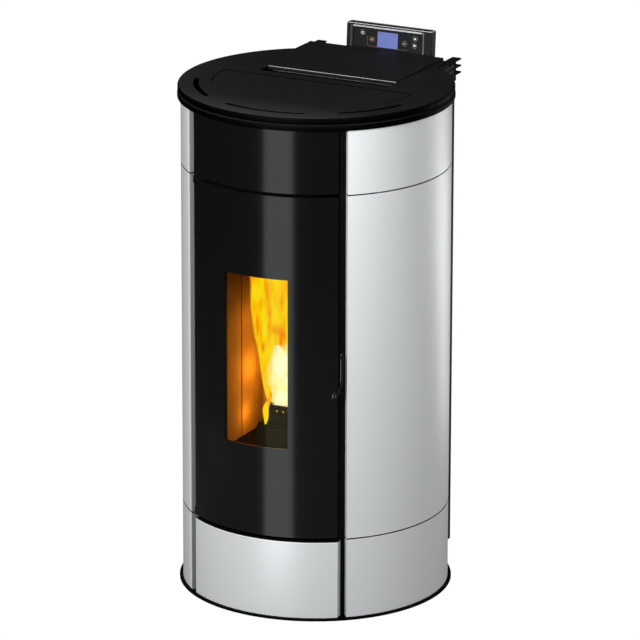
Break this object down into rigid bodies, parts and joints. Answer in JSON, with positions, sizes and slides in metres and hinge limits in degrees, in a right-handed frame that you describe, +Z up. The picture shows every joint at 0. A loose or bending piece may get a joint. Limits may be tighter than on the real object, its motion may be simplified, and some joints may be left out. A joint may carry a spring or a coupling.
{
  "type": "pellet stove",
  "caption": "Round free-standing wood pellet stove: silver curved side panels, black curved door with a tall window, black top with hopper lid and control panel.",
  "frame": {"origin": "on the floor, on the axis of the round casing", "axes": "+Z up, -Y out of the door, +X to the right of someone facing the door"},
  "size_m": [0.5439, 0.608, 1.0717],
  "materials": {
    "silver_paint": "satin",
    "black_paint": "satin",
    "top_black": "satin",
    "stove_glass": "clear",
    "cast_iron": "rough",
    "refractory": "matte",
    "galvanised_sheet": "satin",
    "steel": "satin",
    "fan_aluminium": "satin",
    "rope": "matte",
    "silicone": "matte",
    "black_plastic": "matte",
    "bezel": "satin",
    "display": "gloss",
    "keys": "gloss",
    "motor_case": "satin"
  },
  "bodies": {
    "casing": {"base_plate": "black_paint", "levelling_screws": "steel", "front_post_left": "black_paint", "front_post_right": "black_paint", "side_panel_left_lower": "silver_paint", "side_panel_left_middle": "silver_paint", "side_panel_left_upper": "silver_paint", "side_panel_right_lower": "silver_paint", "side_panel_right_middle": "silver_paint", "side_panel_right_upper": "silver_paint", "front_lower_panel": "silver_paint", "front_upper_panel": "black_paint", "rear_cover": "black_paint", "rear_cover_screws": "steel", "rear_spacers": "black_paint", "top_ring": "top_black", "top_plate": "top_black", "firebox": "steel", "firebox_legs": "steel", "smoke_elbow": "steel", "side_linings": "refractory", "lining_back": "refractory", "baffle_plate": "refractory", "pot_support": "cast_iron", "ash_pan": "galvanised_sheet", "hopper": "galvanised_sheet", "auger_tube": "steel", "auger_gearmotor": "motor_case", "pellet_chute": "steel", "exhaust_fan_housing": "steel", "exhaust_fan_motor": "motor_case", "exhaust_spigot": "steel", "air_intake_tube": "steel", "room_fan_housing": "galvanised_sheet", "room_fan_motor": "motor_case", "igniter": "steel", "control_box": "black_plastic", "power_inlet": "black_plastic", "panel_housing": "black_plastic", "panel_bezel": "bezel", "display_window": "display", "lid_hinge_pins": "steel"},
    "door": {"door_panel": "black_paint", "door_frame": "black_paint", "door_glass": "stove_glass", "glass_retainers": "steel", "door_gasket": "rope"},
    "handle": {"handle_lever": "steel"},
    "lid": {"hopper_lid": "top_black", "lid_gasket": "silicone"},
    "pot": {"burn_pot": "cast_iron"},
    "auger_screw": {"auger": "steel"},
    "exhaust_wheel": {"exhaust_fan_wheel": "fan_aluminium"},
    "room_wheel": {"room_fan_wheel": "fan_aluminium"},
    "rocker": {"rocker_switch": "black_plastic"},
    "power_key": {"key_power": "keys"},
    "mode_key": {"key_mode": "keys"},
    "set_key": {"key_set": "keys"},
    "up_key": {"key_up": "keys"},
    "down_key": {"key_down": "keys"}
  },
  "joints": [
    {"name": "door_hinge", "type": "hinge", "parent": "casing", "child": "door", "pos_m": [-0.15731, -0.20575, 0.515], "axis": [0, 0, -1], "range_deg": [0, 110]},
    {"name": "handle_spindle", "type": "hinge", "parent": "door", "child": "handle", "pos_m": [0.15162, -0.21734, 0.462], "axis": [-0.5721, 0.8202, 0], "range_deg": [0, 90]},
    {"name": "lid_hinge", "type": "hinge", "parent": "casing", "child": "lid", "pos_m": [0, 0.26, 1.016], "axis": [-1, 0, 0], "range_deg": [0, 75]},
    {"name": "pot_lift", "type": "slide", "parent": "casing", "child": "pot", "axis": [0, 0, 1], "range_m": [0, 0.05]},
    {"name": "auger_shaft", "type": "hinge", "parent": "casing", "child": "auger_screw", "pos_m": [0, 0.19, 0.405], "axis": [0, -0.7071, 0.7071], "continuous": true},
    {"name": "exhaust_shaft", "type": "hinge", "parent": "casing", "child": "exhaust_wheel", "pos_m": [-0.062, 0.096, 0.138], "axis": [0, 0, 1], "continuous": true},
    {"name": "room_shaft", "type": "hinge", "parent": "casing", "child": "room_wheel", "pos_m": [0.1, 0.108, 0.092], "axis": [1, 0, 0], "continuous": true},
    {"name": "rocker_pivot", "type": "hinge", "parent": "casing", "child": "rocker", "pos_m": [0.118, 0.296, 0.092], "axis": [1, 0, 0], "range_deg": [-8, 8]},
    {"name": "key_power_press", "type": "slide", "parent": "casing", "child": "power_key", "axis": [0, 0.9976, -0.0698], "range_m": [0, 0.0008], "stiffness_N_per_m": 400},
    {"name": "key_mode_press", "type": "slide", "parent": "casing", "child": "mode_key", "axis": [0, 0.9976, -0.0698], "range_m": [0, 0.0008], "stiffness_N_per_m": 400},
    {"name": "key_set_press", "type": "slide", "parent": "casing", "child": "set_key", "axis": [0, 0.9976, -0.0698], "range_m": [0, 0.0008], "stiffness_N_per_m": 400},
    {"name": "key_up_press", "type": "slide", "parent": "casing", "child": "up_key", "axis": [0, 0.9976, -0.0698], "range_m": [0, 0.0008], "stiffness_N_per_m": 400},
    {"name": "key_down_press", "type": "slide", "parent": "casing", "child": "down_key", "axis": [0, 0.9976, -0.0698], "range_m": [0, 0.0008], "stiffness_N_per_m": 400}
  ]
}
